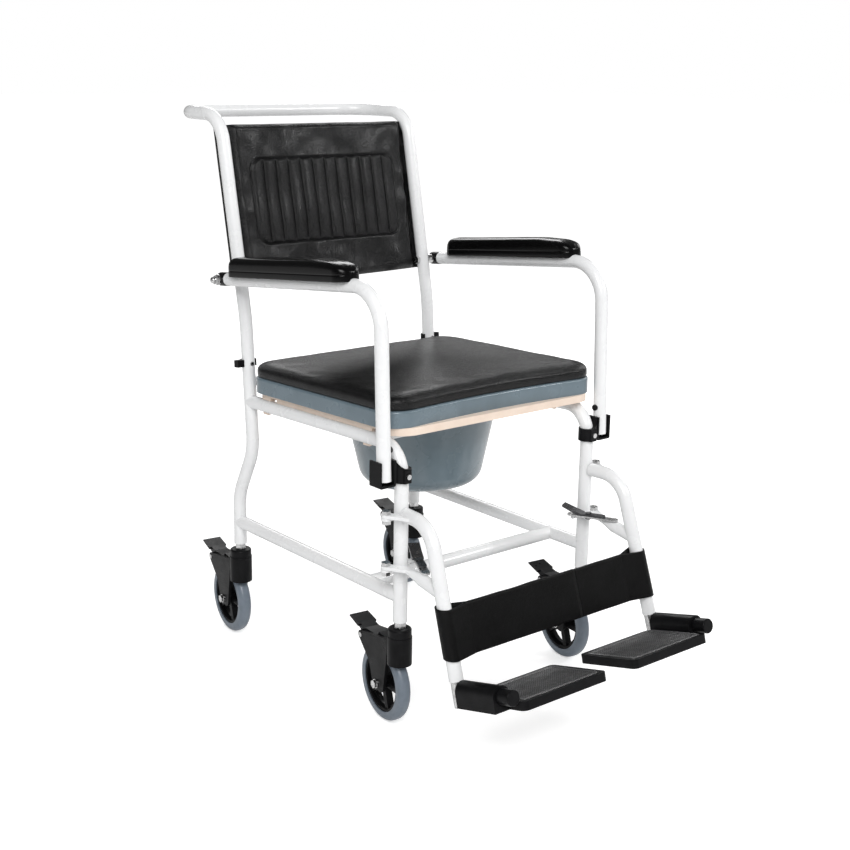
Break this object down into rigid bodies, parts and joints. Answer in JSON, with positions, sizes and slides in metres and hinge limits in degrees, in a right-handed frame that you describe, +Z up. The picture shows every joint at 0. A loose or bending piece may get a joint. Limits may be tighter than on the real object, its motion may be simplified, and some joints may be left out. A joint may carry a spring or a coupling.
{
  "type": "transport wheelchair",
  "caption": "Wheeled transport and commode chair with swivel castors, lift-up arms, padded seat over a sliding pan, and swing-away leg hangers with folding footplates.",
  "frame": {"origin": "on the floor under the centre of the bounding box", "axes": "+Z up, -Y the way the chair faces, +X the occupant's left"},
  "size_m": [0.515, 0.9254, 0.932],
  "materials": {
    "frame_white": "satin white powder coat",
    "steel": "zinc-plated bright steel",
    "vinyl_black": "grained vinyl, satin",
    "pad_black": "integral-skin foam, satin",
    "plastic_black": "matt moulded plastic",
    "tyre_grey": "matt grey rubber",
    "ring_grey": "semi-gloss grey-blue plastic",
    "board_beige": "satin beige plastic",
    "pan_grey": "semi-gloss grey-blue plastic",
    "paddle_grey": "satin grey plastic"
  },
  "bodies": {
    "frame": {"armrest_left_socket": "plastic_black", "armrest_pivot_hardware": "steel", "armrest_right_socket": "plastic_black", "back_panel": "vinyl_black", "castor_stems": "steel", "frame_back_loop": "frame_white", "frame_crossbars": "frame_white", "frame_left_lower_rail": "frame_white", "frame_left_side_tube": "frame_white", "frame_right_lower_rail": "frame_white", "frame_right_side_tube": "frame_white", "frame_screws": "steel", "hanger_brackets": "frame_white", "hanger_pivot_bolts": "steel", "pan_guides": "steel", "rear_clips": "plastic_black", "seat_board": "board_beige", "seat_ring": "ring_grey"},
    "castor_front_right_swivel": {"castor_front_right_fork": "plastic_black", "castor_front_right_pins": "steel"},
    "castor_front_right_wheel": {"castor_front_right_hub": "plastic_black", "castor_front_right_tyre": "tyre_grey"},
    "castor_front_right_brake": {"castor_front_right_pedal": "plastic_black"},
    "castor_front_left_swivel": {"castor_front_left_fork": "plastic_black", "castor_front_left_pins": "steel"},
    "castor_front_left_wheel": {"castor_front_left_hub": "plastic_black", "castor_front_left_tyre": "tyre_grey"},
    "castor_front_left_brake": {"castor_front_left_pedal": "plastic_black"},
    "castor_rear_right_swivel": {"castor_rear_right_fork": "plastic_black", "castor_rear_right_pins": "steel"},
    "castor_rear_right_wheel": {"castor_rear_right_hub": "plastic_black", "castor_rear_right_tyre": "tyre_grey"},
    "castor_rear_right_brake": {"castor_rear_right_pedal": "plastic_black"},
    "castor_rear_left_swivel": {"castor_rear_left_fork": "plastic_black", "castor_rear_left_pins": "steel"},
    "castor_rear_left_wheel": {"castor_rear_left_hub": "plastic_black", "castor_rear_left_tyre": "tyre_grey"},
    "castor_rear_left_brake": {"castor_rear_left_pedal": "plastic_black"},
    "armrest_left": {"armrest_left_tube": "frame_white", "armrest_left_pad": "pad_black", "armrest_left_end_plug": "plastic_black"},
    "hanger_left": {"hanger_left": "frame_white", "hanger_left_latch_plate": "steel", "calf_strap_left": "vinyl_black", "footrest_left_stem": "steel", "footrest_left_spindle": "plastic_black"},
    "latch_left": {"hanger_left_latch_lever": "paddle_grey"},
    "footplate_left": {"footplate_left": "plastic_black"},
    "armrest_right": {"armrest_right_tube": "frame_white", "armrest_right_pad": "pad_black", "armrest_right_end_plug": "plastic_black"},
    "hanger_right": {"hanger_right": "frame_white", "hanger_right_latch_plate": "steel", "calf_strap_right": "vinyl_black", "footrest_right_stem": "steel", "footrest_right_spindle": "plastic_black"},
    "latch_right": {"hanger_right_latch_lever": "paddle_grey"},
    "footplate_right": {"footplate_right": "plastic_black"},
    "seat_cushion": {"seat_cushion": "vinyl_black"},
    "pan": {"pan": "pan_grey"}
  },
  "joints": [
    {"name": "castor_front_right_swivel", "type": "hinge", "parent": "frame", "child": "castor_front_right_swivel", "pos_m": [-0.199, -0.18133, 0.1485], "axis": [0, 0, 1], "continuous": true},
    {"name": "castor_front_right_spin", "type": "hinge", "parent": "castor_front_right_swivel", "child": "castor_front_right_wheel", "pos_m": [-0.19412, -0.14163, 0.0625], "axis": [0.9925, -0.1219, 0], "continuous": true},
    {"name": "castor_front_right_brake", "type": "hinge", "parent": "castor_front_right_swivel", "child": "castor_front_right_brake", "pos_m": [-0.18827, -0.09398, 0.128], "axis": [-0.9925, 0.1219, 0], "range_deg": [0, 25]},
    {"name": "castor_front_left_swivel", "type": "hinge", "parent": "frame", "child": "castor_front_left_swivel", "pos_m": [0.199, -0.18133, 0.1485], "axis": [0, 0, 1], "continuous": true},
    {"name": "castor_front_left_spin", "type": "hinge", "parent": "castor_front_left_swivel", "child": "castor_front_left_wheel", "pos_m": [0.20388, -0.14163, 0.0625], "axis": [0.9925, -0.1219, 0], "continuous": true},
    {"name": "castor_front_left_brake", "type": "hinge", "parent": "castor_front_left_swivel", "child": "castor_front_left_brake", "pos_m": [0.20972, -0.09398, 0.128], "axis": [-0.9925, 0.1219, 0], "range_deg": [0, 25]},
    {"name": "castor_rear_right_swivel", "type": "hinge", "parent": "frame", "child": "castor_rear_right_swivel", "pos_m": [-0.199, 0.27167, 0.1485], "axis": [0, 0, 1], "continuous": true},
    {"name": "castor_rear_right_spin", "type": "hinge", "parent": "castor_rear_right_swivel", "child": "castor_rear_right_wheel", "pos_m": [-0.19412, 0.31137, 0.0625], "axis": [0.9925, -0.1219, 0], "continuous": true},
    {"name": "castor_rear_right_brake", "type": "hinge", "parent": "castor_rear_right_swivel", "child": "castor_rear_right_brake", "pos_m": [-0.18827, 0.35902, 0.128], "axis": [-0.9925, 0.1219, 0], "range_deg": [0, 25]},
    {"name": "castor_rear_left_swivel", "type": "hinge", "parent": "frame", "child": "castor_rear_left_swivel", "pos_m": [0.199, 0.27167, 0.1485], "axis": [0, 0, 1], "continuous": true},
    {"name": "castor_rear_left_spin", "type": "hinge", "parent": "castor_rear_left_swivel", "child": "castor_rear_left_wheel", "pos_m": [0.20388, 0.31137, 0.0625], "axis": [0.9925, -0.1219, 0], "continuous": true},
    {"name": "castor_rear_left_brake", "type": "hinge", "parent": "castor_rear_left_swivel", "child": "castor_rear_left_brake", "pos_m": [0.20972, 0.35902, 0.128], "axis": [-0.9925, 0.1219, 0], "range_deg": [0, 25]},
    {"name": "armrest_left_fold", "type": "hinge", "parent": "frame", "child": "armrest_left", "pos_m": [0.231, 0.25632, 0.655], "axis": [-1, 0, 0], "range_deg": [0, 95]},
    {"name": "hanger_left_swing", "type": "hinge", "parent": "frame", "child": "hanger_left", "pos_m": [0.22592, -0.17921, 0.2725], "axis": [0, 0, 1], "range_deg": [0, 90]},
    {"name": "latch_left", "type": "hinge", "parent": "hanger_left", "child": "latch_left", "pos_m": [0.18358, -0.20722, 0.2805], "axis": [0, 0, 1], "range_deg": [0, 15], "stiffness_Nm_per_rad": 0.05},
    {"name": "footplate_left_flip", "type": "hinge", "parent": "hanger_left", "child": "footplate_left", "pos_m": [0.21096, -0.33334, 0.1235], "axis": [0, 0.9659, -0.2588], "range_deg": [0, 90]},
    {"name": "armrest_right_fold", "type": "hinge", "parent": "frame", "child": "armrest_right", "pos_m": [-0.231, 0.25632, 0.655], "axis": [-1, 0, 0], "range_deg": [0, 95]},
    {"name": "hanger_right_swing", "type": "hinge", "parent": "frame", "child": "hanger_right", "pos_m": [-0.22592, -0.17921, 0.2725], "axis": [0, 0, -1], "range_deg": [0, 90]},
    {"name": "latch_right", "type": "hinge", "parent": "hanger_right", "child": "latch_right", "pos_m": [-0.18358, -0.20722, 0.2805], "axis": [0, 0, -1], "range_deg": [0, 15], "stiffness_Nm_per_rad": 0.05},
    {"name": "footplate_right_flip", "type": "hinge", "parent": "hanger_right", "child": "footplate_right", "pos_m": [-0.21096, -0.33334, 0.1235], "axis": [0, -0.9659, 0.2588], "range_deg": [0, 90]},
    {"name": "seat_cushion_lift", "type": "slide", "parent": "frame", "child": "seat_cushion", "axis": [0, 0.0291, 0.9996], "range_m": [0, 0.12]},
    {"name": "pan_slide", "type": "slide", "parent": "frame", "child": "pan", "axis": [0, 0.9996, -0.0291], "range_m": [0, 0.3]}
  ]
}
